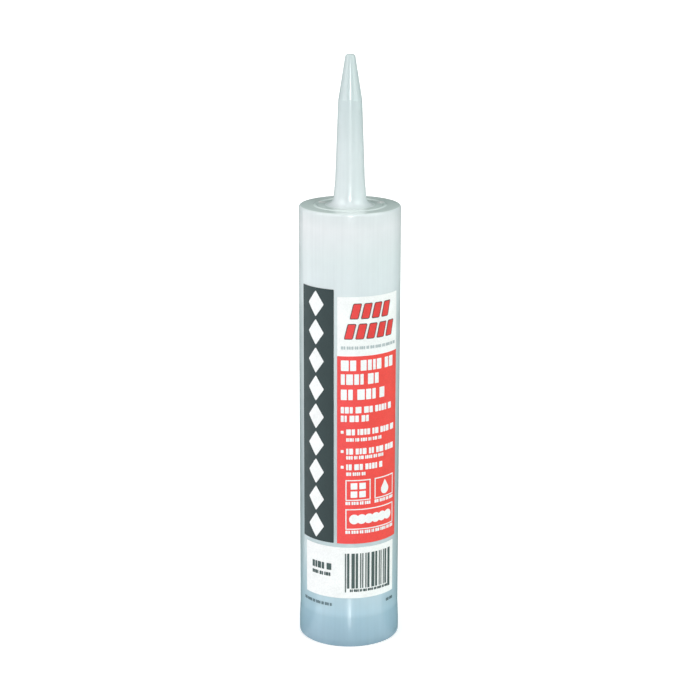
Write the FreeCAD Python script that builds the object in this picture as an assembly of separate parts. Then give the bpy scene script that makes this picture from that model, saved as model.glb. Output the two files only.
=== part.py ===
import FreeCAD, Part
import math
import os

from FreeCAD import Vector

# A sealant cartridge that stands on its open foot, with its nozzle up.
#
# The barrel, its shoulder and its nozzle are one hollow moulding of natural polyethylene.
# The nozzle's tip is moulded shut, and a foil disc closes its root from inside.
# The sealant fills the bore, and a loose plunger with two wiping lips closes it from below.
# The print is ink on the barrel: four fields of colour, with plain marks over them.
#
# The frame's origin is the centre of the foot, +Z runs up through the nozzle, and the print faces -Y.
# Lengths are in millimetres.

# Barrel: the tube, its flared foot and its flat shoulder
body_length = 216.0
bore_diameter = 46.5
wall = 1.05
foot_spread = 0.36
foot_land = 6.0
foot_flare_height = 9.0
foot_edge_radius = 0.3
foot_flare_blend = 20.0
shoulder_thickness = 1.6
shoulder_edge_radius = 1.2
bore_corner_radius = 0.8
bead_radius = 16.5
bead_width = 2.4
bead_height = 0.35

# Nozzle: a root that spreads into the shoulder, a long cone, and a steeper closed tip
nozzle_length = 70.9
tip_cone_length = 20.6
nozzle_root_height = 12.0
nozzle_root_radius = 8.1
nozzle_waist_radius = 7.0
nozzle_step_radius = 5.6
nozzle_step_drop = 0.12
nozzle_step_height = 0.4
nozzle_tip_radius = 2.2
nozzle_root_fillet = 4.0
nozzle_tip_fillet = 1.3
nozzle_wall = 1.4
nozzle_end_wall = 3.0
passage_root_fillet = 0.5

# Foil seal under the nozzle
seal_thickness = 0.1
seal_land = 2.6

# Plunger: a cup that opens downwards, with a wiping lip at each end
plunger_height = 23.0
plunger_setback = 0.6
lip_clearance = 0.08
lip_height = 2.6
lip_relief = 0.75
skirt_wall = 1.3
crown_thickness = 1.6
crown_rise = 1.0
crown_edge_radius = 0.9
hub_radius = 8.0
hub_wall = 1.2
hub_depth = 4.0
web_count = 8
web_thickness = 1.1
web_depth = 3.2

# Sealant: it keeps clear of what holds it, so that no two solids share a face
fill_clearance = 0.1
fill_end_clearance = 0.3

# Print, laid out on the barrel's unrolled wall: distances run round it from the front, heights up it
ink_thickness = 0.1
ink_clearance = 0.03
code_panel_base = 25.4
code_panel_height = 26.4
code_panel_left = 24.6
code_panel_right = 25.7
panel_gap = 2.0
black_panel_left = 27.1
black_panel_right = 7.6
black_panel_top_margin = 36.0
red_panel_left = 5.9
red_panel_right = 27.6
header_drop = 3.3
header_height = 28.7

# Lozenges down the black panel
lozenge_count = 9
lozenge_width = 9.0
lozenge_gap = 1.6

# Slanted blocks on the white header, in two rows, over a thin row of bars
block_rows = (5, 4)
block_width = 4.2
block_height = 7.6
block_slant = 1.8
block_pitch = 5.3
block_row_gap = 2.2
block_base = 8.2

# Rows of bars on the red panel, as (lead above it, height, length, dot).
# Leads and heights share the room between the header and the pictures, and a length of 1 spans
# the panel between its insets.
text_rows = (
    (2.1, 5.4, 1.01, False),
    (1.75, 5.4, 0.75, False),
    (2.5, 5.4, 0.74, False),
    (3.65, 3.3, 0.90, False),
    (1.2, 3.3, 0.45, False),
    (3.85, 3.1, 0.90, True),
    (1.55, 1.8, 0.60, False),
    (3.7, 3.1, 0.88, True),
    (0.8, 1.8, 0.65, False),
    (2.6, 3.1, 0.62, True),
    (1.2, 1.8, 0.35, False),
)
text_tail = 2.3
text_inset = 1.8
text_indent = 2.6
dot_width = 1.4

# Bars in a row, and the space between them, in parts of the row's height
bar_lengths = (1.4, 2.1, 1.1, 1.8, 0.9)
bar_space = 0.42

# Framed pictures at the foot of the red panel: two small ones over a wide one, and a row of
# small bars under each frame
picture_left = 1.8
picture_right = 25.0
picture_base = 5.2
picture_height = 12.6
picture_gap = 2.2
picture_line = 0.5
picture_motif_share = 0.7
caption_height = 1.6
caption_gap = 0.5

# Dark marks on the white code panel, rows as (height, length), and the two rows below the panel
code_left = 2.0
code_right = 23.4
code_base = 5.2
code_height = 18.1
code_guard_drop = 2.0
code_modules = 48
code_row_height = 1.3
code_row_gap = 0.5
code_row_inset = 2.4
note_left = 19.8
note_base = 12.2
note_rows = ((3.4, 11.0), (1.8, 11.2))
note_gap = 1.4
small_row_height = 1.5
volume_row_drop = 3.2
volume_row_left = 26.4
volume_row_right = 8.6
volume_row_far_side = 20.5

# Sizes that follow from those above
bore_radius = bore_diameter / 2
body_radius = bore_radius + wall
foot_radius = body_radius + foot_spread
foot_bore_radius = foot_radius - wall
foot_top = foot_land + foot_flare_height
shoulder_underside = body_length - shoulder_thickness
nozzle_step_z = body_length + nozzle_length - tip_cone_length
nozzle_top = body_length + nozzle_length
passage_root_radius = nozzle_root_radius - nozzle_wall
seal_radius = passage_root_radius + seal_land
plunger_base = foot_top + plunger_setback
plunger_edge_z = plunger_base + plunger_height - crown_rise
plunger_peak_z = plunger_base + plunger_height
lip_radius = bore_radius - lip_clearance
skirt_radius = lip_radius - lip_relief
cup_radius = skirt_radius - skirt_wall
cup_ceiling = plunger_edge_z - crown_thickness
code_panel_top = code_panel_base + code_panel_height
side_panel_base = code_panel_top + panel_gap
black_panel_top = body_length - black_panel_top_margin
header_top = black_panel_top - header_drop
header_base = header_top - header_height
picture_middle = side_panel_base + picture_base + picture_height
picture_top = picture_middle + picture_gap + picture_height


def outline(points):
    """Closed wire in the half plane of radius and height, through (radius, height, corner radius)
    points. A corner with a radius becomes an arc tangent to both of its sides."""
    spots = [Vector(r, 0, z) for r, z, _ in points]
    stops = []
    for i, (_, _, corner) in enumerate(points):
        here = spots[i]
        if not corner:
            stops.append((here, None, here))
            continue
        back = (spots[i - 1] - here).normalize()
        ahead = (spots[(i + 1) % len(spots)] - here).normalize()
        half = back.getAngle(ahead) / 2
        reach = corner / math.tan(half)
        middle = (back + ahead).normalize() * (corner / math.sin(half) - corner)
        stops.append((here + back * reach, here + middle, here + ahead * reach))
    edges = []
    for i, (start, middle, end) in enumerate(stops):
        previous_end = stops[i - 1][2]
        if previous_end.distanceToPoint(start) > 1e-7:
            edges.append(Part.makeLine(previous_end, start))
        if middle is not None:
            edges.append(Part.Arc(start, middle, end).toShape())
    return Part.Wire(edges)


def turned(points):
    """Solid of revolution about Z from the points of its half section."""
    face = Part.Face(outline(points))
    return face.revolve(Vector(0, 0, 0), Vector(0, 0, 1), 360)


def shoulder_bead():
    """Half section of the low ring that stiffens the shoulder, from its outer foot to its inner one."""
    half = bead_width / 2
    crest = bead_width / 6
    return [
        (bead_radius + half, body_length, 0),
        (bead_radius + crest, body_length + bead_height, 0.25),
        (bead_radius - crest, body_length + bead_height, 0.25),
        (bead_radius - half, body_length, 0),
    ]


def barrel():
    """The whole moulding: up the outside from the foot to the tip, then down the inside."""
    step_inside = nozzle_step_radius - nozzle_wall
    tip_inside = nozzle_tip_radius / 2
    outside = [
        (foot_radius, 0, foot_edge_radius),
        (foot_radius, foot_land, foot_flare_blend),
        (body_radius, foot_top, foot_flare_blend),
        (body_radius, body_length, shoulder_edge_radius),
        *shoulder_bead(),
        (nozzle_root_radius, body_length, nozzle_root_fillet),
        (nozzle_waist_radius, body_length + nozzle_root_height, 0),
        (nozzle_step_radius, nozzle_step_z - nozzle_step_height, 0),
        (nozzle_step_radius - nozzle_step_drop, nozzle_step_z, 0),
        (nozzle_tip_radius, nozzle_top, nozzle_tip_fillet),
        (0, nozzle_top, 0),
    ]
    inside = [
        (0, nozzle_top - nozzle_end_wall, 0),
        (tip_inside, nozzle_top - nozzle_end_wall, 0),
        (step_inside, nozzle_step_z, 0),
        (nozzle_waist_radius - nozzle_wall, body_length + nozzle_root_height, 0),
        (passage_root_radius, shoulder_underside, passage_root_fillet),
        (bore_radius, shoulder_underside, bore_corner_radius),
        (bore_radius, foot_top, 0),
        (foot_bore_radius, foot_land, 0),
        (foot_bore_radius, 0, foot_edge_radius),
    ]
    return turned(outside + inside)


def inner_seal():
    """Foil disc that closes the nozzle's root, stuck to the shoulder's underside."""
    base = Vector(0, 0, shoulder_underside - seal_thickness)
    return Part.makeCylinder(seal_radius, seal_thickness, base)


def plunger():
    """The follower: a domed crown on a skirt with two lips, and webs from its hub to its skirt."""
    base = plunger_base
    upper_lip_z = plunger_edge_z - crown_edge_radius - lip_height
    cup = turned(
        [
            (0, plunger_peak_z, 0),
            (skirt_radius, plunger_edge_z, crown_edge_radius),
            (skirt_radius, upper_lip_z + lip_height, 0),
            (lip_radius, upper_lip_z + lip_height / 2, 0.4),
            (skirt_radius, upper_lip_z, 0),
            (skirt_radius, base + lip_height, 0),
            (lip_radius, base + lip_height / 2, 0.4),
            (skirt_radius, base, 0),
            (cup_radius, base, 0),
            (cup_radius, cup_ceiling, crown_edge_radius),
            (0, cup_ceiling + crown_rise, 0),
        ]
    )
    hub_base = cup_ceiling - hub_depth
    hub_height = hub_depth + crown_rise + crown_thickness / 2
    hub = Part.makeCylinder(hub_radius, hub_height, Vector(0, 0, hub_base))
    hub = hub.cut(Part.makeCylinder(hub_radius - hub_wall, hub_height, Vector(0, 0, hub_base)))
    web_from = hub_radius - hub_wall / 2
    web_to = cup_radius + skirt_wall / 2
    web_height = web_depth + crown_thickness / 2
    webs = []
    for i in range(web_count):
        web = Part.makeBox(
            web_to - web_from,
            web_thickness,
            web_height,
            Vector(web_from, -web_thickness / 2, cup_ceiling - web_depth),
        )
        web.rotate(Vector(0, 0, 0), Vector(0, 0, 1), 360 * i / web_count)
        webs.append(web)
    return cup.fuse([hub, *webs]).removeSplitter()


def sealant():
    """The fill: a plug that follows the bore, the shoulder and the plunger's crown."""
    radius = bore_radius - fill_clearance
    top = shoulder_underside - fill_end_clearance
    return turned(
        [
            (0, top, 0),
            (radius, top, bore_corner_radius),
            (radius, plunger_edge_z + fill_end_clearance, 0),
            (0, plunger_peak_z + fill_end_clearance, 0),
        ]
    )


def ink_patch(left, right, base, top, layer=0):
    """Thin patch of ink on the barrel, from left to right round the wall, both measured from the
    front. A patch in layer 1 lies on one in layer 0, and a hair's breadth parts each from what
    it lies on, because two round faces of one radius can cut each other."""
    inner = body_radius + ink_clearance + layer * (ink_thickness + ink_clearance)
    outer = inner + ink_thickness
    corners = [(inner, base), (outer, base), (outer, top), (inner, top), (inner, base)]
    section = Part.Face(Part.makePolygon([Vector(0, -r, z) for r, z in corners]))
    section.rotate(Vector(0, 0, 0), Vector(0, 0, 1), math.degrees(left / body_radius))
    sweep = math.degrees((right - left) / body_radius)
    return section.revolve(Vector(0, 0, 0), Vector(0, 0, 1), sweep)


def ink_shape(centre, corners, layer=1):
    """Small flat outline of ink: its corners, given from centre round the wall and up it, are
    driven as a prism through a patch just large enough to hold them."""
    across = [x for x, _ in corners]
    heights = [z for _, z in corners]
    reach = body_radius + wall
    points = [Vector(x, -reach, z) for x, z in corners]
    prism = Part.Face(Part.makePolygon(points + points[:1])).extrude(Vector(0, reach, 0))
    prism.rotate(Vector(0, 0, 0), Vector(0, 0, 1), math.degrees(centre / body_radius))
    left = centre + min(across) - wall
    right = centre + max(across) + wall
    return prism.common(ink_patch(left, right, min(heights), max(heights), layer))


def arc_corners(radius, middle, start=0, stop=360, step=20):
    """Corners along an arc about a middle height, at angles in degrees from straight up."""
    corners = []
    for degrees in range(start, stop, step):
        angle = math.radians(degrees)
        corners.append((radius * math.sin(angle), middle + radius * math.cos(angle)))
    return corners


def bar_row(left, length, base, top, first=0, layer=1):
    """Row of bars with spaces between them. The bars take their lengths in turn from the one
    called first, and the last bar is cut at the row's end."""
    height = top - base
    bars = []
    at = 0.0
    turn = first
    while length - at > height / 2:
        run = height * bar_lengths[turn % len(bar_lengths)]
        bars.append(ink_patch(left + at, left + min(at + run, length), base, top, layer))
        at += run + height * bar_space
        turn += 1
    return bars


def print_black_panel():
    return ink_patch(-black_panel_left, -black_panel_right, side_panel_base, black_panel_top)


def print_red_panel():
    return ink_patch(-red_panel_left, red_panel_right, side_panel_base, header_base)


def print_white_header():
    return ink_patch(-red_panel_left, red_panel_right, header_base, header_top)


def print_white_code_panel():
    return ink_patch(-code_panel_left, code_panel_right, code_panel_base, code_panel_top)


def print_lozenges():
    """White lozenges one above another down the middle of the black panel."""
    centre = -(black_panel_left + black_panel_right) / 2
    pitch = (black_panel_top - side_panel_base - lozenge_gap) / lozenge_count
    half = (pitch - lozenge_gap) / 2
    marks = []
    for i in range(lozenge_count):
        middle = side_panel_base + lozenge_gap + half + pitch * i
        right_side = [(0, middle - half), (lozenge_width / 2, middle)]
        left_side = [(0, middle + half), (-lozenge_width / 2, middle)]
        marks.append(ink_shape(centre, right_side + left_side))
    return Part.makeCompound(marks)


def print_header_blocks():
    """Slanted red blocks, centred on the header, one row above the other."""
    middle = (red_panel_right - red_panel_left) / 2
    base = header_base + block_base
    blocks = []
    half = block_width / 2
    lean = block_slant / 2
    for count in block_rows:
        top = base + block_height
        corners = [(-half - lean, base), (half - lean, base), (half + lean, top), (-half + lean, top)]
        for i in range(count):
            blocks.append(ink_shape(middle + block_pitch * (i - (count - 1) / 2), corners))
        base = top + block_row_gap
    return Part.makeCompound(blocks)


def print_text_rows():
    """White rows on the red panel, with a dot before each row that opens a point."""
    parts = sum(lead + height for lead, height, _, _ in text_rows) + text_tail
    part = (header_base - picture_top) / parts
    left = -red_panel_left + text_inset
    room = red_panel_right - text_inset - left
    bars = []
    top = header_base
    indent = 0.0
    for turn, (lead, height, length, dot) in enumerate(text_rows):
        top -= lead * part
        base = top - height * part
        if dot:
            indent = text_indent
            low = (top + base - dot_width) / 2
            bars.append(ink_patch(left, left + dot_width, low, low + dot_width, layer=1))
        bars.extend(bar_row(left + indent, length * room, base, top, first=turn))
        top = base
    return Part.makeCompound(bars)


def picture(left, right, base, motif):
    """A frame of ink with a motif in its middle, over a row of small bars. motif takes its place,
    its height and the room across the frame, and gives what it draws."""
    low = base + caption_height + caption_gap
    top = base + picture_height
    line = picture_line
    sides = [
        ink_patch(left, right, low, low + line, layer=1),
        ink_patch(left, right, top - line, top, layer=1),
        ink_patch(left, left + line, low + line, top - line, layer=1),
        ink_patch(right - line, right, low + line, top - line, layer=1),
    ]
    frame = sides[0].fuse(sides[1:]).removeSplitter()
    size = (top - low) * picture_motif_share
    drawn = motif((left + right) / 2, (low + top) / 2, size, right - left - 4 * line)
    return [frame] + drawn + bar_row(left, right - left, base, base + caption_height)


def tile_motif(centre, middle, size, _):
    """Four square tiles with a joint between them."""
    joint = 2 * picture_line
    side = (size - joint) / 2
    tiles = []
    for left in (centre - size / 2, centre + joint / 2):
        for base in (middle - size / 2, middle + joint / 2):
            tiles.append(ink_patch(left, left + side, base, base + side, layer=1))
    return tiles


def drop_motif(centre, middle, size, _):
    """A drop: a point over the lower two thirds of a disc."""
    radius = size / 3
    point = (0, middle + size / 2)
    return [ink_shape(centre, [point] + arc_corners(radius, middle - size / 2 + radius, 60, 301))]


def bead_motif(centre, middle, size, room):
    """A laid bead: a row of discs that run into each other."""
    radius = size / 3
    count = int((room - 2 * radius) / (1.5 * radius)) + 1
    discs = []
    for i in range(count):
        place = centre + 1.5 * radius * (i - (count - 1) / 2)
        discs.append(ink_shape(place, arc_corners(radius, middle)))
    return [discs[0].fuse(discs[1:]).removeSplitter()]


def print_pictures():
    """White pictures: tiles and a drop in the small frames, and a bead in the wide one."""
    middle = (picture_right - picture_left) / 2
    low = side_panel_base + picture_base
    high = picture_middle + picture_gap
    marks = picture(-picture_left, middle - picture_gap / 2, high, tile_motif)
    marks += picture(middle + picture_gap / 2, picture_right, high, drop_motif)
    marks += picture(-picture_left, picture_right, low, bead_motif)
    return Part.makeCompound(marks)


def print_code_bars():
    """Upright bars of one to three modules with gaps of one or two, from a plain count, between
    two guard bars that stand lower."""
    module = (code_right + code_left) / code_modules
    base = code_panel_base + code_base
    top = base + code_height
    bars = []
    at = i = 0
    while at < code_modules:
        width = min(1 + (i * i + i // 2) % 3, code_modules - at)
        guard = i == 0 or at + width >= code_modules - 1
        foot = base - code_guard_drop if guard else base
        start = -code_left + at * module
        bars.append(ink_patch(start, start + width * module, foot, top, layer=1))
        at += width + 1 + i % 2
        i += 1
    return Part.makeCompound(bars)


def print_dark_rows():
    """Rows of small dark bars: under the header's blocks, on the code panel, under the code's
    bars, and below the panel."""
    header_row = header_base + (block_base - small_row_height) / 2
    left = -red_panel_left + text_inset
    length = red_panel_right - text_inset - left
    bars = bar_row(left, length, header_row, header_row + small_row_height)
    top = code_panel_top - note_base + note_rows[0][0]
    for height, length in note_rows:
        bars += bar_row(-note_left, length, top - height, top, first=1)
        top -= height + note_gap
    top = code_panel_base + code_base - code_row_gap
    length = code_left + code_right - 2 * code_row_inset
    bars += bar_row(code_row_inset - code_left, length, top - code_row_height, top, first=2)
    low = code_panel_base - volume_row_drop
    length = volume_row_left - volume_row_right
    bars += bar_row(-volume_row_left, length, low - small_row_height, low, layer=0)
    length = code_panel_right - volume_row_far_side
    bars += bar_row(volume_row_far_side, length, low - small_row_height, low, layer=0)
    return Part.makeCompound(bars)


pieces = [
    barrel,
    inner_seal,
    sealant,
    plunger,
    print_black_panel,
    print_red_panel,
    print_white_header,
    print_white_code_panel,
    print_lozenges,
    print_header_blocks,
    print_text_rows,
    print_pictures,
    print_code_bars,
    print_dark_rows,
]
os.makedirs("parts", exist_ok=True)
for make in pieces:
    shape = make()
    assert shape.isValid() and shape.Solids, make.__name__
    shape.exportStep(os.path.join("parts", make.__name__ + ".step"))
    print(f"{make.__name__}: {len(shape.Solids)} solids, {shape.Volume / 1000:.3f} ml")
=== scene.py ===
import math

import bpy
import numpy as np
from mathutils import Matrix, Vector


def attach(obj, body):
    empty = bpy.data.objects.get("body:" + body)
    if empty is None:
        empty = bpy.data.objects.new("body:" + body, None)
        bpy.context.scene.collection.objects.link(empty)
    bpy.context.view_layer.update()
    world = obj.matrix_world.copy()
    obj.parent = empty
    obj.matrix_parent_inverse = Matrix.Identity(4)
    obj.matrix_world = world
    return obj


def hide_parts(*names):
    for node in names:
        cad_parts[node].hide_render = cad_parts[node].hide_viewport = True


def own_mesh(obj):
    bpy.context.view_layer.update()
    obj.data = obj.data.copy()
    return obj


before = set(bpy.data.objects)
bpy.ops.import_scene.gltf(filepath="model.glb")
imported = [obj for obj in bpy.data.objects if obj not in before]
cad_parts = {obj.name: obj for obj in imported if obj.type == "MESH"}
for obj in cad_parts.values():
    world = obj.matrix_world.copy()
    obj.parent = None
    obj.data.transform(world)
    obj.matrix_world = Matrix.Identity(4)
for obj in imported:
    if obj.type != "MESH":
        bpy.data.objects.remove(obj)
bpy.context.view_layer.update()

# Barrel: tube, flared foot, flat shoulder and closed nozzle in one hollow moulding of natural
# polyethylene. The wall is milky and half glossy, with faint drawing lines up it, and its tone is
# bluer and darker towards the foot. Two pins that pushed it off its core left round marks on the
# shoulder, which are painted pure white as painted highlights.

mm = 0.001
body_length = 216.0
body_radius = 24.3
bore_radius = 23.25
shoulder_underside = 214.4
foot_radius = 24.66
foot_bore_radius = 23.61
foot_land = 6.0
foot_top = 15.0
# (radius, rise over the shoulder, corner radius) across the low ring on the shoulder
shoulder_ring = ((17.7, 0.0, 0.15), (16.9, 0.35, 0.25), (16.1, 0.35, 0.25), (15.3, 0.0, 0.15))
nozzle_top = 286.9
nozzle_step_z = 266.3
nozzle_step_drop = 0.4
root_height = 12.0
tip_thickness = 3.0
dimple_depth = 0.15
longest_side = 4.0
shortest_side = 0.0001
crease = math.radians(32)


def rounded(points, steps=8):
    """Line through (radius, height, corner radius) points. A corner becomes an arc tangent to both
    sides: its centre is on the bisector, the corner radius over the half angle's sine away, and
    its points turn evenly from one tangent point to the other."""
    points = np.array(points, float)
    spot, corner = points[1:-1, :2], points[1:-1, 2:]
    back, ahead = points[:-2, :2] - spot, points[2:, :2] - spot
    back /= np.linalg.norm(back, axis=1, keepdims=True)
    ahead /= np.linalg.norm(ahead, axis=1, keepdims=True)
    half = np.arccos(np.clip((back * ahead).sum(1, keepdims=True), -1, 1)) / 2
    middle = (back + ahead) / np.linalg.norm(back + ahead, axis=1, keepdims=True)
    centre = spot + middle * corner / np.sin(half)
    first = spot + back * corner / np.tan(half) - centre
    last = spot + ahead * corner / np.tan(half) - centre
    turn = np.pi - 2 * half
    share = np.linspace(0, 1, steps)[:, None, None]
    swing = np.sin((1 - share) * turn) * first + np.sin(share * turn) * last
    arcs = (centre + swing / np.sin(turn)).transpose(1, 0, 2).reshape(-1, 2)
    line = np.vstack([points[:1, :2], arcs, points[-1:, :2]])
    apart = np.linalg.norm(np.diff(line, axis=0), axis=1) > shortest_side
    return line[np.append(True, apart)]


def stepped(line, longest):
    """The same line with each side cut into equal parts no longer than the given length."""
    parts = np.ceil(np.linalg.norm(np.diff(line, axis=0), axis=1) / longest).astype(int)
    side = np.repeat(np.arange(len(parts)), parts)
    share = (np.arange(len(side)) - np.repeat(np.cumsum(parts) - parts, parts)) / parts[side]
    return np.vstack([line[side] + (line[side + 1] - line[side]) * share[:, None], line[-1:]])


def turned(line, around=160):
    """Surface of revolution: row i, column j is at the line's radius times the cosine and sine of
    j equal turns, and at its height. The line's ends are on the axis, where one vertex closes
    each pole. A line that runs down the inside and up the outside gives faces that point out."""
    turn = np.arange(around) * 2 * np.pi / around
    radius, height = line[1:-1, 0, None], line[1:-1, 1, None]
    rows = np.stack([radius * np.cos(turn), radius * np.sin(turn), height + 0 * turn], -1)
    points = np.vstack([rows.reshape(-1, 3), [0, 0, line[0, 1]], [0, 0, line[-1, 1]]])
    at = np.arange(rows.shape[0] * around).reshape(-1, around)
    beside = np.roll(at, -1, 1)
    walls = np.stack([at[:-1], beside[:-1], beside[1:], at[1:]], -1).reshape(-1, 4)
    low, high = np.full(around, at.size), np.full(around, at.size + 1)
    caps = [np.stack([low, beside[0], at[0]], -1), np.stack([high, at[-1], beside[-1]], -1)]
    return points, walls.tolist() + caps[0].tolist() + caps[1].tolist()


def piece(name, shape, finish, node, body="barrel"):
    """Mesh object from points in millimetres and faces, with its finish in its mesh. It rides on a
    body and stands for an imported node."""
    points, faces = shape
    mesh = bpy.data.meshes.new(name)
    mesh.from_pydata(points * mm, [], faces)
    mesh.shade_smooth()
    mesh.set_sharp_from_angle(angle=crease)
    mesh.materials.append(finish)
    made = bpy.data.objects.new(name, mesh)
    bpy.context.scene.collection.objects.link(made)
    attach(made, body)
    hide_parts(node)
    return made


def adder(tree):
    """The call that adds a node to a tree. An input that is given a socket is linked to it, and
    any other is set."""

    def add(kind, inputs, **settings):
        made = tree.nodes.new("ShaderNode" + kind)
        for key, value in settings.items():
            setattr(made, key, value)
        for key, value in inputs.items():
            if isinstance(value, bpy.types.NodeSocket):
                tree.links.new(value, made.inputs[key])
            else:
                made.inputs[key].default_value = value
        return made

    return add


def new_finish(name):
    """Material with no nodes, and the call that adds a node to it."""
    material = bpy.data.materials.new(name)
    material.use_nodes = True
    material.node_tree.nodes.clear()
    return material, adder(material.node_tree)


def grain(add, place, scale, detail, low=0.0, high=1.0):
    """Noise of that scale, spread from its usual 0.35 to 0.65 over low to high."""
    noise = add("TexNoise", {"Vector": place, "Scale": scale, "Detail": detail, "Roughness": 0.55})
    spread = {"From Min": 0.35, "From Max": 0.65, "To Min": low, "To Max": high}
    return add("MapRange", {"Value": noise.outputs["Fac"], **spread}).outputs["Result"]


def between(add, value, start, stop, low=0.0, high=1.0):
    """Smooth step of a value from low to high as it goes from start to stop."""
    inputs = {"Value": value, "From Min": start, "From Max": stop, "To Min": low, "To Max": high}
    return add("MapRange", inputs, interpolation_type="SMOOTHSTEP").outputs["Result"]


def times(add, first, second):
    """Product of two numbers."""
    return add("Math", {0: first, 1: second}, operation="MULTIPLY").outputs["Value"]


def mixed(add, share, first, second):
    """The first colour where the share is 0, the second where it is 1."""
    return add("Mix", {0: share, 6: first, 7: second}, data_type="RGBA").outputs[2]


def shaded(add, colour, share):
    """A colour times a number that varies over the surface."""
    return add("VectorMath", {0: colour, "Scale": share}, operation="SCALE").outputs["Vector"]


def srgb(red, green, blue):
    """Linear colour from display values out of 255: the share plus 0.055, over 1.055, to the power
    of 2.4, or the share over 12.92 where it is small."""
    value = np.array([red, green, blue]) / 255
    linear = np.where(value > 0.04045, ((value + 0.055) / 1.055) ** 2.4, value / 12.92)
    return (*linear.tolist(), 1.0)


# (height in mm, colour) up the wall and the nozzle
plastic_tones = (
    (0.0, srgb(131, 161, 178)),
    (4.0, srgb(145, 175, 192)),
    (14.4, srgb(157, 188, 204)),
    (17.0, srgb(171, 201, 216)),
    (26.0, srgb(180, 206, 218)),
    (50.0, srgb(190, 207, 212)),
    (75.0, srgb(183, 195, 200)),
    (115.0, srgb(199, 209, 213)),
    (165.0, srgb(216, 227, 230)),
    (184.0, srgb(219, 229, 232)),
    (193.0, srgb(220, 230, 232)),
    (208.0, srgb(229, 233, 236)),
    (215.0, srgb(219, 226, 228)),
    (226.0, srgb(216, 225, 227)),
    (242.0, srgb(212, 222, 224)),
    (264.0, srgb(199, 212, 214)),
    (nozzle_top, srgb(194, 207, 208)),
)
# (height in mm, roughness): the foot and the wall's upper end are dull, the wall between them is
# polished, and the nozzle is half glossy
wall_roughness = (
    (0.0, 0.72),
    (14.7, 0.72),
    (15.3, 0.31),
    (165.0, 0.31),
    (178.0, 0.75),
    (208.0, 0.75),
    (214.0, 0.5),
    (nozzle_top, 0.5),
)
# the shoulder's flat: its tone, the plastic's own made greener by a painted mint reflection, mm
# below it where that starts and is whole, the radii between which the nozzle's flare gives way to
# it, and how much less rough it is
plate_tone_with_mint_reflection = srgb(228, 238, 236)
plate_depths = (0.3, 0.03)
plate_radii = (9.5, 13.0)
plate_polish = 0.3
line_stretch = 0.02
# (x, y) of the round marks of the pins, painted pure white as painted highlights, and the share of
# their radius that has the whole tone
pin_glint_marks = ((-13.1, 5.5), (14.8, 4.8))
pin_glint_radius = 2.4
pin_glint_core = 0.7
pin_glint_tone = srgb(255, 255, 255)


def ramp(add, share, stops):
    """Colour at a share of the whole height, from stops of a height in mm and a colour."""
    made = add("ValToRGB", {"Fac": share})
    elements = made.color_ramp.elements
    for i, (level, tone) in enumerate(stops):
        stop = elements[i] if i < 2 else elements.new(1.0)
        stop.position = level / nozzle_top
        stop.color = tone
    return made.outputs["Color"]


natural_plastic, add = new_finish("natural_plastic")
place = add("TexCoord", {}).outputs["Object"]
axes = add("SeparateXYZ", {"Vector": place}).outputs
height = add("MapRange", {"Value": axes["Z"], "From Max": nozzle_top * mm}).outputs["Result"]
flat = add("CombineXYZ", {"X": axes["X"], "Y": axes["Y"]}).outputs["Vector"]
reach = add("VectorMath", {0: flat}, operation="LENGTH").outputs["Value"]
above = between(add, axes["Z"], *((body_length - depth) * mm for depth in plate_depths))
off_flare = between(add, reach, *(radius * mm for radius in plate_radii))
on_plate = times(add, above, off_flare)
# the shoulder's flat takes its own tone, greener than the wall by a painted mint reflection
colour = mixed(add, on_plate, ramp(add, height, plastic_tones), plate_tone_with_mint_reflection)
# painted highlights: the pins' marks on the shoulder's flat take a pure white tone
for x, y in pin_glint_marks:
    off = add("VectorMath", {0: flat, 1: (x * mm, y * mm, 0)}, operation="DISTANCE")
    edge, core = pin_glint_radius * mm, pin_glint_core * pin_glint_radius * mm
    on_pin_glint = between(add, off.outputs["Value"], edge, core)
    colour = mixed(add, times(add, on_plate, on_pin_glint), colour, pin_glint_tone)
stretched = add("Mapping", {"Vector": place, "Scale": (1.0, 1.0, line_stretch)})
lines = grain(add, stretched.outputs["Vector"], scale=700.0, detail=2.0)
colour = shaded(add, colour, grain(add, place, scale=45.0, detail=3.0, low=0.975, high=1.02))
colour = shaded(add, colour, between(add, lines, 0.0, 1.0, low=0.985, high=1.01))
dull = ramp(add, height, [(level, (rough, rough, rough, 1.0)) for level, rough in wall_roughness])
uneven = grain(add, place, scale=500.0, detail=3.0, low=-0.008, high=0.008)
rough = add("Math", {0: dull, 1: uneven}).outputs["Value"]
polish = times(add, on_plate, plate_polish)
rough = add("Math", {0: rough, 1: polish}, operation="SUBTRACT").outputs["Value"]
pores = grain(add, place, scale=900.0, detail=3.0)
skin = add("Bump", {"Height": pores, "Strength": 0.2, "Distance": 0.000006}).outputs["Normal"]
pulled = add("Bump", {"Height": lines, "Strength": 0.3, "Distance": 0.00001, "Normal": skin})
along = add("Tangent", {}, direction_type="RADIAL", axis="Z").outputs["Tangent"]
shader = add("BsdfPrincipled", {
    "Base Color": colour,
    "Roughness": rough,
    "Normal": pulled.outputs["Normal"],
    "Tangent": along,
    "Anisotropic": 0.95,
    "Anisotropic Rotation": 0.25,
    "IOR": 1.5,
    "Coat Weight": 0.7,
    "Coat Roughness": 0.2,
    "Coat IOR": 1.5,
    "Subsurface Weight": 0.3,
    "Subsurface Radius": (1.0, 1.0, 1.0),
    "Subsurface Scale": 0.003,
})
add("OutputMaterial", {"Surface": shader.outputs["BSDF"]})

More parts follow.
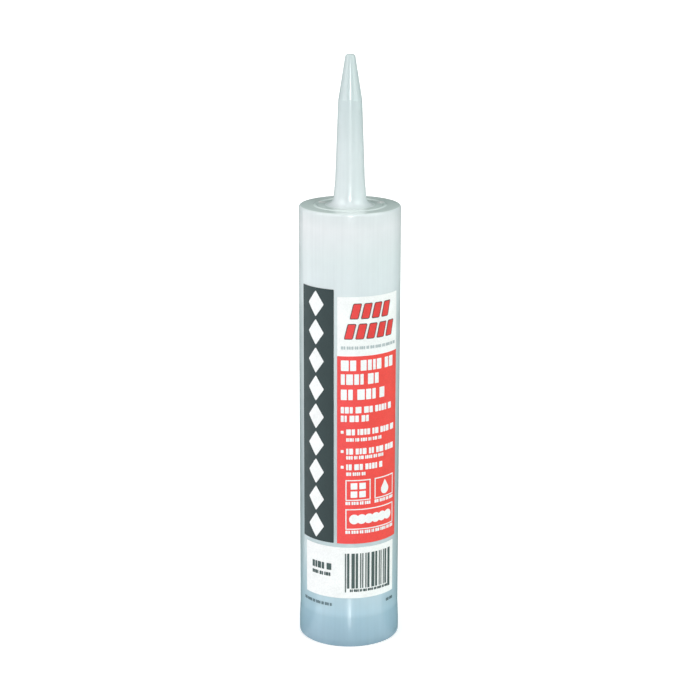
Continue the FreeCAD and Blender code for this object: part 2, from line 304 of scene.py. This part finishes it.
# the half section as (radius, height, corner radius): down the passage and the bore, then up the
# outside
inside = [
    (0, nozzle_top - tip_thickness, 0),
    (1.1, nozzle_top - tip_thickness, 0.3),
    (4.2, nozzle_step_z, 0),
    (5.6, body_length + root_height, 0),
    (6.7, shoulder_underside, 0.5),
    (bore_radius, shoulder_underside, 0.8),
    (bore_radius, foot_top, 0),
    (foot_bore_radius, foot_land, 0),
    (foot_bore_radius, 0, 0.3),
]
outside = [
    (foot_radius, 0, 0.3),
    (foot_radius, foot_land, 20.0),
    (body_radius, foot_top, 20.0),
    (body_radius, body_length, 1.2),
    *((radius, body_length + rise, corner) for radius, rise, corner in shoulder_ring),
    (8.1, body_length, 4.0),
    (7.0, body_length + root_height, 0),
    (5.6, nozzle_step_z - nozzle_step_drop, 0.08),
    (5.48, nozzle_step_z, 0.08),
    (2.2, nozzle_top, 1.3),
    (0.7, nozzle_top, 0.1),
    (0.55, nozzle_top - dimple_depth, 0.1),
    (0, nozzle_top - dimple_depth, 0),
]
barrel_line = stepped(rounded(inside + outside), longest_side)
piece("barrel_moulding", turned(barrel_line), natural_plastic, "barrel")

# Inner seal: a disc of aluminium foil, heat-sealed to the shoulder's underside under the nozzle's
# root. The tool that pressed it on left fine wrinkles in it.

seal_radius = 9.3
seal_thickness = 0.1
seal_edge = 0.03
seal_side = 1.5

seal_foil, add = new_finish("seal_foil")
place = add("TexCoord", {}).outputs["Object"]
crinkle = grain(add, place, scale=420.0, detail=5.0)
creases = add("Bump", {"Height": crinkle, "Strength": 0.6, "Distance": 0.0002})
clouds = grain(add, place, scale=90.0, detail=2.0, low=0.93)
shader = add("BsdfPrincipled", {
    "Base Color": shaded(add, (0.80, 0.80, 0.81), clouds),
    "Roughness": grain(add, place, scale=300.0, detail=3.0, low=0.22, high=0.36),
    "Normal": creases.outputs["Normal"],
    "Metallic": 1.0,
})
add("OutputMaterial", {"Surface": shader.outputs["BSDF"]})

low = shoulder_underside - seal_thickness
disc = [
    (0, low, 0),
    (seal_radius, low, seal_edge),
    (seal_radius, shoulder_underside, seal_edge),
    (0, shoulder_underside, 0),
]
disc_line = stepped(rounded(disc, steps=4), seal_side)
piece("foil_disc", turned(disc_line), seal_foil, "inner_seal")

# Sealant: a soft acrylic paste, filled in from below, that takes the shape of the bore, of the
# shoulder and of the plunger's crown. It leaves through the nozzle as the plunger rises.

fill_radius = 23.15
fill_top = 214.1
fill_edge_z = 37.9
fill_pole_z = 38.9

sealant_paste, add = new_finish("sealant_paste")
place = add("TexCoord", {}).outputs["Object"]
lumps = grain(add, place, scale=160.0, detail=4.0)
smears = add("Bump", {"Height": lumps, "Strength": 0.5, "Distance": 0.0004})
clouds = grain(add, place, scale=70.0, detail=3.0, low=0.95)
shader = add("BsdfPrincipled", {
    "Base Color": shaded(add, (0.90, 0.92, 0.91), clouds),
    "Roughness": grain(add, place, scale=240.0, detail=2.0, low=0.35, high=0.5),
    "Normal": smears.outputs["Normal"],
    "Subsurface Weight": 0.2,
    "Subsurface Radius": (1.0, 1.0, 1.0),
    "Subsurface Scale": 0.002,
})
add("OutputMaterial", {"Surface": shader.outputs["BSDF"]})

fill = [
    (0, fill_pole_z, 0),
    (fill_radius, fill_edge_z, 0.1),
    (fill_radius, fill_top, 0.8),
    (0, fill_top, 0),
]
fill_line = stepped(rounded(fill), longest_side)
filling = piece("sealant_fill", turned(fill_line), sealant_paste, "sealant")
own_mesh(filling)

# Plunger: a cup of polyethylene, moulded in one with its wiping lips, hub and webs, and pressed
# up the open foot onto the paste. It is satin, with a swirl where the melt flowed in.

plunger_base = 15.6
plunger_edge_z = 37.6
lip_radius = 23.17
skirt_radius = 22.42
cup_radius = 21.12
cup_ceiling = 36.0
crown_rise = 1.0
lip_height = 2.6
upper_lip_z = 34.1
hub_outside = 8.0
hub_inside = 6.8
hub_base = 32.0
# the hub and the webs end inside the wall that they are moulded to
hub_ceiling = cup_ceiling + 0.9
hub_top = cup_ceiling + 1.4
web_count = 8
web_edge_points = 9
web_half = 0.55
web_base = 32.8
web_top = cup_ceiling + 0.8
web_start = hub_inside + 0.6
web_end = cup_radius + 0.65
plunger_side = 3.0

plunger_plastic, add = new_finish("plunger_plastic")
place = add("TexCoord", {}).outputs["Object"]
swirl = add("TexNoise", {"Vector": place, "Scale": 60.0, "Detail": 3.0, "Distortion": 1.4})
swirl = between(add, swirl.outputs["Fac"], 0.3, 0.7, low=0.94, high=1.02)
fine = grain(add, place, scale=1100.0, detail=2.0)
skin = add("Bump", {"Height": fine, "Strength": 0.4, "Distance": 0.00003})
shader = add("BsdfPrincipled", {
    "Base Color": shaded(add, (0.80, 0.84, 0.85), swirl),
    "Roughness": grain(add, place, scale=200.0, detail=3.0, low=0.42, high=0.54),
    "Normal": skin.outputs["Normal"],
    "Subsurface Weight": 0.25,
    "Subsurface Radius": (1.0, 1.0, 1.0),
    "Subsurface Scale": 0.002,
})
add("OutputMaterial", {"Surface": shader.outputs["BSDF"]})


def lip(low_z):
    """Half section of a wiping lip: out to its edge and back to the skirt."""
    return [
        (skirt_radius, low_z, 0.2),
        (lip_radius, low_z + lip_height / 2, 0.4),
        (skirt_radius, low_z + lip_height, 0.2),
    ]


def web(count):
    """Webs like spokes: a section across the web, with its lower edge rounded, is carried out from
    the hub to the skirt at two stations, and turned to each of the equal angles."""
    bend = np.linspace(np.pi, 2 * np.pi, web_edge_points)
    edge = np.stack([web_half * np.cos(bend), web_base + web_half + web_half * np.sin(bend)], -1)
    section = np.vstack([edge, [(web_half, web_top), (-web_half, web_top)]])
    size = len(section)
    rim = np.arange(size)
    out = np.array([web_start, web_end])
    across = np.broadcast_to(section[:, 0], (2, size))
    along = np.broadcast_to(out[:, None], (2, size))
    up = np.broadcast_to(section[:, 1], (2, size))
    turn = (np.arange(count) * 2 * np.pi / count)[:, None, None]
    points = np.stack([
        along * np.cos(turn) - across * np.sin(turn),
        along * np.sin(turn) + across * np.cos(turn),
        up + 0 * turn,
    ], -1).reshape(-1, 3)
    beside = np.roll(rim, -1)
    sides = np.stack([rim, beside, beside + size, rim + size], -1)
    first = np.arange(count) * 2 * size
    walls = (sides + first[:, None, None]).reshape(-1, 4)
    near = rim[::-1] + first[:, None]
    far = rim + size + first[:, None]
    return points, walls.tolist() + near.tolist() + far.tolist()


def joined(*shapes):
    """Several shapes in one mesh: each one's faces count on from the points before it."""
    points = np.vstack([shape[0] for shape in shapes])
    starts = np.cumsum([0] + [len(shape[0]) for shape in shapes])
    faces = []
    for (_, own), start in zip(shapes, starts):
        faces += [[at + start for at in face] for face in own]
    return points, faces


cup = [
    (0, cup_ceiling + crown_rise, 0),
    (cup_radius, cup_ceiling, 0.9),
    (cup_radius, plunger_base, 0.3),
    (skirt_radius, plunger_base, 0.3),
    *lip(plunger_base)[1:],
    *lip(upper_lip_z),
    (skirt_radius, plunger_edge_z, 0.9),
    (0, plunger_edge_z + crown_rise, 0),
]
hub = [
    (0, hub_ceiling, 0),
    (hub_inside, hub_ceiling, 0),
    (hub_inside, hub_base, 0.25),
    (hub_outside, hub_base, 0.25),
    (hub_outside, hub_top, 0),
    (0, hub_top, 0),
]
cup_shape, hub_shape = (turned(stepped(rounded(line), plunger_side)) for line in (cup, hub))
follower = joined(cup_shape, hub_shape, web(web_count))
piece("plunger_cup", follower, plunger_plastic, "plunger", "plunger")

# Print, ground coat: four fields of screen-printed ink on the barrel, cured hard and satin. The
# black and red fields stand side by side, the header tops the red one, and the white code panel
# runs under both. Heights are above the foot, and distances run round the wall from the front.

ink_base_radius = 24.33
ink_thickness = 0.1
ink_layer = 0.13
panel_corner = 0.35
corner_points = 5
side_panel_base = 53.8
# (left, right, base, top)
black_panel = (-27.1, -7.6, side_panel_base, 180.0)
red_panel = (-5.9, 27.6, side_panel_base, 148.0)
white_header = (-5.9, 27.6, 148.0, 176.7)
code_panel = (-24.6, 25.7, 25.4, 51.8)


def bars(rows, corner, columns):
    """Rounded rectangles from rows of left, right, base and top. A column at distance d from the
    nearer end is cut by c minus the root of c squared less (c minus d) squared at its foot and
    its head, where c is the corner's radius and d is less than c."""
    left, right, base, top = np.array(rows, float).T[:, :, None]
    c = np.minimum(corner, np.minimum(right - left, top - base) / 2)
    bend = 1 - np.cos(np.linspace(0, np.pi / 2, corner_points))
    inner = left + c + (right - left - 2 * c) * np.linspace(0, 1, columns)[1:-1]
    across = np.concatenate([left + c * bend, inner, right - c * bend[::-1]], 1)
    d = np.minimum(across - left, right - across)
    cut = c - np.sqrt(np.maximum(c**2 - np.maximum(c - d, 0) ** 2, 0))
    return across, base + cut, top - cut


def ink(name, spans, layer, finish, node, lean=0.0, shares=(0.0, 1.0)):
    """Film of ink on the wall. A mark's column i stands at a distance round the wall and runs from
    a low to a high point, shifted by lean times its height over the mark's middle. The distance
    over the wall's radius is the angle, x is the radius times its sine, and y is minus the radius
    times its cosine. An outer and an inner grid and a rim between them close each mark. Layer 0
    lies on the wall and layer 1 on the ground coat. The attribute rim_mm holds each point's
    distance from the mark's edge."""
    across, low, high = spans
    shares = np.array(shares)
    count, columns, rows = *across.shape, len(shares)
    z = low[..., None] + (high - low)[..., None] * shares
    middle = (low.min(1) + high.max(1))[:, None, None] / 2
    around = (across[..., None] + lean * (z - middle)) / body_radius
    radius = ink_base_radius + layer * ink_layer + np.array([0.0, ink_thickness])
    radius = radius[:, None, None, None]
    points = np.stack([radius * np.sin(around), -radius * np.cos(around), z + 0 * radius], -1)
    size = count * columns * rows
    at = np.arange(size).reshape(count, columns, rows)
    cells = [at[:, :-1, :-1], at[:, :-1, 1:], at[:, 1:, 1:], at[:, 1:, :-1]]
    inner = np.stack(cells, -1).reshape(-1, 4)
    border = np.concatenate([at[:, :, 0], at[:, -1, 1:], at[:, -2::-1, -1], at[:, 0, -2:0:-1]], 1)
    beside = np.roll(border, -1, 1)
    rim = np.stack([border, beside, beside + size, border + size], -1).reshape(-1, 4)
    faces = np.vstack([inner, inner[:, ::-1] + size, rim])
    made = piece(name, (points.reshape(-1, 3), faces.tolist()), finish, node)
    ends = np.minimum(across - across[:, :1], across[:, -1:] - across)[..., None]
    edge = np.minimum(ends, np.minimum(z - low[..., None], high[..., None] - z))
    attribute = made.data.attributes.new("rim_mm", "FLOAT", "POINT")
    attribute.data.foreach_set("value", np.tile(edge.ravel(), 2).astype(np.float32))
    return made


def ink_finish(name, left_tone, right_tone, roughness):
    """Screen ink: its tone drifts from left to right across the wall, a painted light and tint of
    the lamps and of mirrored surroundings that leaves the left side lighter. A cloudy and a fine
    grain lighten and darken it, and the screen's threads leave a weave of two crossed ripples in
    it."""
    material, add = new_finish(name)
    place = add("TexCoord", {}).outputs["Object"]
    axes = add("SeparateXYZ", {"Vector": place}).outputs
    # painted side light: lighter on the left, darker and warmer on the right, as the lamps and
    # reflections fall
    painted_side_light = between(add, axes["X"], -body_radius * mm, body_radius * mm)
    colour = mixed(add, painted_side_light, left_tone, right_tone)
    colour = shaded(add, colour, grain(add, place, scale=120.0, detail=3.0, low=0.97, high=1.03))
    colour = shaded(add, colour, grain(add, place, scale=1400.0, detail=2.0, low=0.96, high=1.04))
    threads = [
        add("TexWave", {"Vector": place, "Scale": 900.0}, bands_direction=way).outputs["Fac"]
        for way in ("X", "Z")
    ]
    weave = times(add, *threads)
    woven = add("Bump", {"Height": weave, "Strength": 0.15, "Distance": 0.00001})
    low, high = roughness - 0.05, roughness + 0.05
    rough = grain(add, place, scale=350.0, detail=4.0, low=low, high=high)
    return material, add, colour, rough, woven.outputs["Normal"]


def close_ink(add, colour, rough, normal):
    """Puts an ink's colour, roughness and weave on its shader, which mirrors less than plastic."""
    inputs = {"Base Color": colour, "Roughness": rough, "Normal": normal, "Specular IOR Level": 0.3}
    shader = add("BsdfPrincipled", inputs)
    add("OutputMaterial", {"Surface": shader.outputs["BSDF"]})


def plain_ink(name, left_tone, right_tone, roughness):
    """Screen ink of one tone."""
    material, *parts = ink_finish(name, left_tone, right_tone, roughness)
    close_ink(*parts)
    return material


black_ink = plain_ink("black_ink", srgb(46, 62, 64), srgb(24, 34, 34), 0.42)
red_ink = plain_ink("red_ink", srgb(240, 82, 86), srgb(236, 72, 62), 0.42)
white_ink = plain_ink("white_ink", srgb(245, 246, 247), srgb(244, 246, 245), 0.45)

for name, field, columns, finish, slot, node in (
    ("black_field", black_panel, 24, black_ink, "black_ink", "print_black_panel"),
    ("red_field", red_panel, 40, red_ink, "red_ink", "print_red_panel"),
    ("white_header", white_header, 40, white_ink, "white_ink", "print_white_header"),
    ("white_code_field", code_panel, 60, white_ink, "white_ink", "print_white_code_panel"),
):
    ink(name, bars([field], panel_corner, columns), 0, finish, node)

# Print, lozenges: a row of nine white lozenges down the middle of the black field, printed over
# the ground coat with the second screen.

lozenge_count = 9
lozenge_half_width = 4.5
lozenge_gap = 1.6
lozenge_blunt = 0.04
lozenge_columns = 23

pitch = (black_panel[3] - side_panel_base - lozenge_gap) / lozenge_count
half = (pitch - lozenge_gap) / 2
middles = side_panel_base + lozenge_gap + half + pitch * np.arange(lozenge_count)[:, None]
share = np.linspace(-1, 1, lozenge_columns)
slope = half * (1 + lozenge_blunt - np.sqrt(share**2 + lozenge_blunt**2))
across = (black_panel[0] + black_panel[1]) / 2 + lozenge_half_width * share
across = np.broadcast_to(across, (lozenge_count, lozenge_columns))
lozenges = (across, middles - slope, middles + slope)
ink("lozenges", lozenges, 1, white_ink, "print_lozenges")

# Print, header blocks: two rows of slanted red blocks on the white header, each with the thin dark
# outline that a second ink gives it.

block_rows = (5, 4)
block_width = 4.2
block_height = 7.6
block_corner = 0.7
block_columns = 7
block_slant = 1.8
block_pitch = 5.3
block_row_gap = 2.2
block_base = 8.2
outline_width = 0.42
outline_tone = srgb(84, 60, 60)
# shares of its width between which the outline gives way to the red
outline_fade = (0.8, 1.1)

outlined_red, add, colour, rough, normal = ink_finish(
    "outlined_red", srgb(240, 70, 76), srgb(222, 60, 54), 0.42
)
from_rim = add("Attribute", {}, attribute_name="rim_mm").outputs["Fac"]
within = between(add, from_rim, *(share * outline_width for share in outline_fade))
close_ink(add, mixed(add, within, outline_tone, colour), rough, normal)

rows = []
middle = (white_header[0] + white_header[1]) / 2
base = white_header[2] + block_base
for count in block_rows:
    lefts = middle + block_pitch * (np.arange(count) - (count - 1) / 2) - block_width / 2
    rows += [(left, left + block_width, base, base + block_height) for left in lefts]
    base += block_height + block_row_gap
shares = np.array([0.0, outline_width, 2 * outline_width, block_height / 2]) / block_height
shares = [*shares, *(1 - shares[2::-1])]
ink(
    "header_blocks", bars(rows, block_corner, block_columns), 1, outlined_red,
    "print_header_blocks", lean=block_slant / block_height, shares=shares,
)

# Print, rows of marks: white rows on the red field, printed with the second screen. Each row is
# broken into bars with spaces between them, and each bar into blunt blocks with hairline gaps.

# (space above, height, length as a share of the room, whether a dot stands before it), where the
# spaces and heights are in equal units that fill the red field down to the pictures
text_rows = (
    (2.1, 5.4, 1.01, False),
    (1.75, 5.4, 0.75, False),
    (2.5, 5.4, 0.74, False),
    (3.65, 3.3, 0.90, False),
    (1.2, 3.3, 0.45, False),
    (3.85, 3.1, 0.90, True),
    (1.55, 1.8, 0.60, False),
    (3.7, 3.1, 0.88, True),
    (0.8, 1.8, 0.65, False),
    (2.6, 3.1, 0.62, True),
    (1.2, 1.8, 0.35, False),
)
text_tail = 2.3
text_inset = 1.8
text_indent = 2.6
dot_width = 1.4
mark_corner = 0.22
mark_columns = 5
bar_lengths = np.array([1.4, 2.1, 1.1, 1.8, 0.9])
bar_space = 0.42
most_bars = 60
block_widths = np.array([1.0, 0.8, 1.2, 0.9, 0.7, 1.1, 0.85])
blunt_pitch = 0.6
blunt_gap = 0.13
picture_top = 86.4


def row_of_bars(left, length, base, top, first=0):
    """Bars of a row as left, right, base and top. Their lengths are the row's height times each of
    the lengths in turn, they are laid end to end with a space, and the last is cut at the end."""
    height = top - base
    lengths = height * np.resize(np.roll(bar_lengths, -first), most_bars)
    starts = left + np.cumsum(lengths + height * bar_space) - lengths - height * bar_space
    kept = left + length - starts > height / 2
    ends = np.minimum(starts + lengths, left + length)
    return np.stack([starts, ends, 0 * ends + base, 0 * ends + top], -1)[kept]


def blunt_blocks(rows):
    """Each bar cut into blocks, as many as its length holds at their usual pitch, with a gap
    between. A block's share of its bar is its width over the sum of its bar's blocks' widths."""
    left, right, base, top = np.vstack(rows).T
    height = top - base
    count = np.maximum(np.round((right - left) / (blunt_pitch * height)), 1).astype(int)
    starts = np.cumsum(count) - count
    bar = np.repeat(np.arange(len(count)), count)
    first = starts[bar]
    widths = np.resize(block_widths, len(bar))
    before = np.cumsum(widths) - widths
    held = np.add.reduceat(widths, starts)
    stretch = (right - left + blunt_gap * height)[bar] / held[bar]
    start = left[bar] + (before - before[first]) * stretch
    end = start + widths * stretch - blunt_gap * height[bar]
    return np.stack([start, end, base[bar], top[bar]], -1)


units = sum(lead + size for lead, size, _, _ in text_rows) + text_tail
unit = (red_panel[3] - picture_top) / units
text_left = red_panel[0] + text_inset
text_room = red_panel[1] - text_inset - text_left
rows = []
dots = []
top = red_panel[3]
indent = 0.0
for turn, (lead, size, length, dot) in enumerate(text_rows):
    top -= lead * unit
    base = top - size * unit
    if dot:
        indent = text_indent
        low = (top + base - dot_width) / 2
        dots.append((text_left, text_left + dot_width, low, low + dot_width))
    rows.append(row_of_bars(text_left + indent, length * text_room, base, top, turn))
    top = base
marks = bars(np.vstack([blunt_blocks(rows), dots]), mark_corner, mark_columns)
ink("white_text_rows", marks, 1, white_ink, "print_text_rows")

# Print, pictures: two small framed pictures over a wide one, all white: tiles, a drop and a laid
# bead of sealant, each over a row of small marks.

picture_left = -1.8
picture_right = 25.0
picture_base = 5.2
picture_height = 12.6
picture_gap = 2.2
picture_line = 0.5
picture_corner = 0.12
picture_columns = 20
picture_motif_share = 0.7
caption_height = 1.6
caption_gap = 0.5
drop_fullness = 0.97
drop_shoulder = math.radians(60)
bead_pitch = 1.5
bead_end = 0.999
bead_parts = 8

low_picture = side_panel_base + picture_base
high_picture = low_picture + picture_height + picture_gap
split = (picture_left + picture_right) / 2
frames = np.array([
    (picture_left, split - picture_gap / 2, high_picture),
    (split + picture_gap / 2, picture_right, high_picture),
    (picture_left, picture_right, low_picture),
])
rows = []
for left, right, base in frames:
    low, high, line = base + caption_height + caption_gap, base + picture_height, picture_line
    rows += [
        (left, right, low, low + line),
        (left, right, high - line, high),
        (left, left + line, low + line, high - line),
        (right - line, right, low + line, high - line),
        *blunt_blocks([row_of_bars(left, right - left, base, base + caption_height)]),
    ]
motif = (picture_height - caption_height - caption_gap) * picture_motif_share
motif_middle = (picture_height + caption_height + caption_gap) / 2
centres = frames[:, :2].mean(1)
joint = 2 * picture_line
tile = (motif - joint) / 2
for left in (centres[0] - motif / 2, centres[0] + joint / 2):
    for base in (motif_middle - motif / 2, motif_middle + joint / 2):
        rows.append((left, left + tile, high_picture + base, high_picture + base + tile))
plain = bars(rows, picture_corner, picture_columns)
columns = plain[0].shape[1]

# the drop: columns of a disc, with straight sides from its shoulders up to a point
radius = motif / 3
share = np.sin(np.linspace(-1, 1, columns) * np.pi / 2 * drop_fullness)
disc = np.sqrt(1 - share**2)
disc_middle = high_picture + motif_middle - motif / 2 + radius
point = high_picture + motif_middle + motif / 2
shoulder = math.sin(drop_shoulder)
fall = (point - disc_middle - radius * math.cos(drop_shoulder)) / shoulder
sides = point - fall * np.abs(share)
drop_high = np.where(np.abs(share) < shoulder, sides, disc_middle + radius * disc)
drop = (centres[1] + radius * share, disc_middle - radius * disc, drop_high)

# the bead: a row of discs that run into each other, so a column is as high as the tallest there
bead_room = picture_right - picture_left - 4 * picture_line
bead_count = int((bead_room - 2 * radius) / (bead_pitch * radius)) + 1
bead_centres = bead_pitch * radius * (np.arange(bead_count) - (bead_count - 1) / 2)
bead_reach = bead_centres[-1] + bead_end * radius
ends = np.linspace(-bead_reach, bead_reach, bead_parts + 1)
bead_x = ends[:-1, None] + (ends[1:] - ends[:-1])[:, None] * np.linspace(0, 1, columns)
tallest = np.max(radius**2 - (bead_x[..., None] - bead_centres) ** 2, -1)
tallest = np.sqrt(np.maximum(tallest, 1e-4))
bead_z = low_picture + motif_middle
laid_bead = (centres[2] + bead_x, bead_z - tallest, bead_z + tallest)
pictures = [np.vstack(same) for same in zip(plain, drop, laid_bead)]
ink("white_pictures", pictures, 1, white_ink, "print_pictures")

# Print, code: upright dark bars of one to three modules between two longer guard bars, in the
# same thin dark ink as the small rows. Their widths follow a fixed rule and encode nothing.

code_left = -2.0
code_right = 23.4
code_base = 5.2
code_height = 18.1
code_guard_drop = 2.0
code_modules = 48
code_corner = 0.05

dark_ink = plain_ink("dark_ink", srgb(72, 90, 90), srgb(66, 84, 82), 0.5)

module = (code_right - code_left) / code_modules
base = code_panel[2] + code_base
rows = []
at = turn = 0
while at < code_modules:
    width = min(1 + (turn * turn + turn // 2) % 3, code_modules - at)
    guard = turn == 0 or at + width >= code_modules - 1
    start = code_left + at * module
    low = base - code_guard_drop * guard
    rows.append((start, start + width * module, low, base + code_height))
    at += width + 1 + turn % 2
    turn += 1
code = bars(rows, code_corner, mark_columns)
ink("code_bars", code, 1, dark_ink, "print_code_bars")

# Print, dark rows: small blocks under the header's slanted ones, on the code panel, under its bars
# and, straight on the plastic, below the panel.

small_row_height = 1.5
small_corner = 0.2
note_left = -19.8
note_base = 12.2
# (height, length)
note_rows = ((3.4, 11.0), (1.8, 11.2))
note_gap = 1.4
code_row_height = 1.3
code_row_gap = 0.5
code_row_inset = 2.4
volume_row_drop = 3.2
# (left, length)
volume_rows = ((-26.4, 17.8), (20.5, 5.2))

base = white_header[2] + (block_base - small_row_height) / 2
on_header = [row_of_bars(text_left, text_room, base, base + small_row_height)]
on_white = []
top = code_panel[3] - note_base + note_rows[0][0]
for size, length in note_rows:
    on_white.append(row_of_bars(note_left, length, top - size, top, 1))
    top -= size + note_gap
top = code_panel[2] + code_base - code_row_gap
length = code_right - code_left - 2 * code_row_inset
on_white.append(row_of_bars(code_left + code_row_inset, length, top - code_row_height, top, 2))
top = code_panel[2] - volume_row_drop
base = top - small_row_height
on_plastic = [row_of_bars(left, length, base, top) for left, length in volume_rows]

thin_ink = plain_ink("thin_ink", srgb(190, 201, 203), srgb(180, 192, 194), 0.5)
small_ink = plain_ink("small_ink", srgb(104, 126, 134), srgb(98, 120, 126), 0.5)
for name, rows, layer, finish in (
    ("header_row", on_header, 1, thin_ink),
    ("dark_rows", on_white, 1, dark_ink),
    ("volume_rows", on_plastic, 0, small_ink),
):
    marks = bars(blunt_blocks(rows), small_corner, mark_columns)
    ink(name, marks, layer, finish, "print_dark_rows")

# Studio: a plain pale floor, an even sky, a wide soft lamp at either side of the camera and a weak
# one behind. A tall strip beside the camera gives the nozzle its shine, and a tiny one on the floor
# gives the foot its own. A dim card bent round behind the tube shows only in its gloss.

sky_strength = 0.38
floor_tone = 0.82
floor_glow = 0.44
floor_half = 9.0
floor_z = -0.0002

scene = bpy.context.scene
scene.view_settings.view_transform = "Standard"


def seen_directly(add):
    """1 for a camera, glossy or transmission ray, and 0 for any other."""
    path = add("LightPath", {}).outputs
    seen = path["Is Camera Ray"]
    for ray in ("Is Glossy Ray", "Is Transmission Ray"):
        seen = add("Math", {0: seen, 1: path[ray]}, operation="MAXIMUM").outputs["Value"]
    return seen


def staged(name, points, faces, finish):
    """Mesh object of the studio, from points in metres and faces."""
    mesh = bpy.data.meshes.new(name)
    mesh.from_pydata(points, [], faces)
    mesh.materials.append(finish)
    made = bpy.data.objects.new(name, mesh)
    scene.collection.objects.link(made)
    return made


pale_floor, add = new_finish("pale_floor")
matte = add("BsdfDiffuse", {"Color": (floor_tone, floor_tone, floor_tone, 1)})
glow = add("Emission", {"Strength": times(add, seen_directly(add), floor_glow)})
both = add("AddShader", {0: matte.outputs["BSDF"], 1: glow.outputs["Emission"]})
add("OutputMaterial", {"Surface": both.outputs["Shader"]})
corners = floor_half * np.array([(-1, -1), (1, -1), (1, 1), (-1, 1)])
staged("floor", np.column_stack([corners, np.full(4, floor_z)]), [(0, 1, 2, 3)], pale_floor)

world = bpy.data.worlds.new("studio")
world.use_nodes = True
world.node_tree.nodes.clear()
scene.world = world
add = adder(world.node_tree)
lit = between(add, seen_directly(add), 0.0, 1.0, low=sky_strength, high=1.0)
sky = add("Background", {"Color": (1, 1, 1, 1), "Strength": lit})
add("OutputWorld", {"Surface": sky.outputs["Background"]})

# (name, azimuth and elevation in degrees, strength, tint, spread in degrees)
soft_lamps = (
    ("left_lamp", -60, 28, 1.71, (0.985, 1.0, 1.0), 50),
    ("right_lamp", 60, 28, 1.65, (0.91, 1.0, 0.965), 50),
    ("back_lamp", 180, 40, 0.6, (1.0, 1.0, 1.0), 60),
)
lamp_distance = 2.0
middle = Vector((0, 0, 0.14))


def aim(lamp, azimuth, elevation, distance):
    """Places a lamp at an azimuth and an elevation round the tube's middle, and turns it there.
    The way to it is (sin a cos e, -cos a cos e, sin e)."""
    a, e = math.radians(azimuth), math.radians(elevation)
    way = Vector((math.sin(a) * math.cos(e), -math.cos(a) * math.cos(e), math.sin(e)))
    turn = way.to_track_quat("Z", "Y").to_matrix().to_4x4()
    lamp.matrix_world = Matrix.Translation(middle + way * distance) @ turn


for name, azimuth, elevation, strength, tint, spread in soft_lamps:
    data = bpy.data.lights.new(name, "SUN")
    data.energy = strength
    data.color = tint
    data.angle = math.radians(spread)
    lamp = bpy.data.objects.new(name, data)
    scene.collection.objects.link(lamp)
    aim(lamp, azimuth, elevation, lamp_distance)
    lamp.visible_glossy = name != "back_lamp"

# the card: an upright bend, and an apron on the floor that reaches in to the foot (metres)
card_turns = (-61, 74)
card_radius = 0.11
card_height = 0.42
apron_turns = (-110, 110)
apron_radius = 0.0255
apron_rise = 0.0001
card_steps = 40

dim_card, add = new_finish("dim_card")
glow = add("Emission", {"Color": (0.03, 0.10, 0.085, 1)})
add("OutputMaterial", {"Surface": glow.outputs["Emission"]})


def bent_card(turns, inner, outer, rise):
    """Two arcs round the axis, behind the tube, with faces between them: the inner one on the
    floor, the outer one at a height. Each point is the radius times the turn's sine and cosine."""
    turn = np.radians(np.linspace(*turns, card_steps))
    way = np.stack([np.sin(turn), np.cos(turn), 0 * turn], -1)
    at = np.arange(card_steps - 1)
    faces = np.stack([at, at + 1, at + card_steps + 1, at + card_steps], -1)
    return np.vstack([inner * way, outer * way + (0, 0, rise)]), faces.tolist()


upright = bent_card(card_turns, card_radius, card_radius, card_height)
apron = bent_card(apron_turns, apron_radius, card_radius, apron_rise)
card = staged("card", *joined(upright, apron), dim_card)
card.visible_camera = False
card.visible_diffuse = False
card.visible_transmission = False
card.visible_shadow = False

low_strip_place = (0.0012, -0.064, 0.0005)


def strip(name, width, length, strength):
    """Narrow area lamp that shows only as a shine."""
    data = bpy.data.lights.new(name, "AREA")
    data.shape = "RECTANGLE"
    data.size = width
    data.size_y = length
    data.energy = strength
    lamp = bpy.data.objects.new(name, data)
    scene.collection.objects.link(lamp)
    lamp.visible_diffuse = False
    lamp.visible_camera = False
    return lamp


tall_strip = strip("strip_lamp", width=0.03, length=0.15, strength=5.0)
aim(tall_strip, azimuth=1.5, elevation=13, distance=1.03)
low_strip = strip("low_strip", width=0.006, length=0.02, strength=0.004)
low_strip.matrix_world = Matrix.Translation(low_strip_place) @ Matrix.Rotation(math.pi, 4, "X")

camera_place = (0.00019, -0.8844, 0.3869)
camera_down = 15.33
camera_roll = 0.0025

lens_data = bpy.data.cameras.new("camera")
lens_data.sensor_width = 36.0
lens_data.lens = 97.44
lens_data.clip_start = 0.01
camera = bpy.data.objects.new("camera", lens_data)
scene.collection.objects.link(camera)
tilt = Matrix.Rotation(math.radians(90 - camera_down), 4, "X")
roll = Matrix.Rotation(camera_roll, 4, "Z")
camera.matrix_world = Matrix.Translation(camera_place) @ (tilt @ roll)
scene.camera = camera
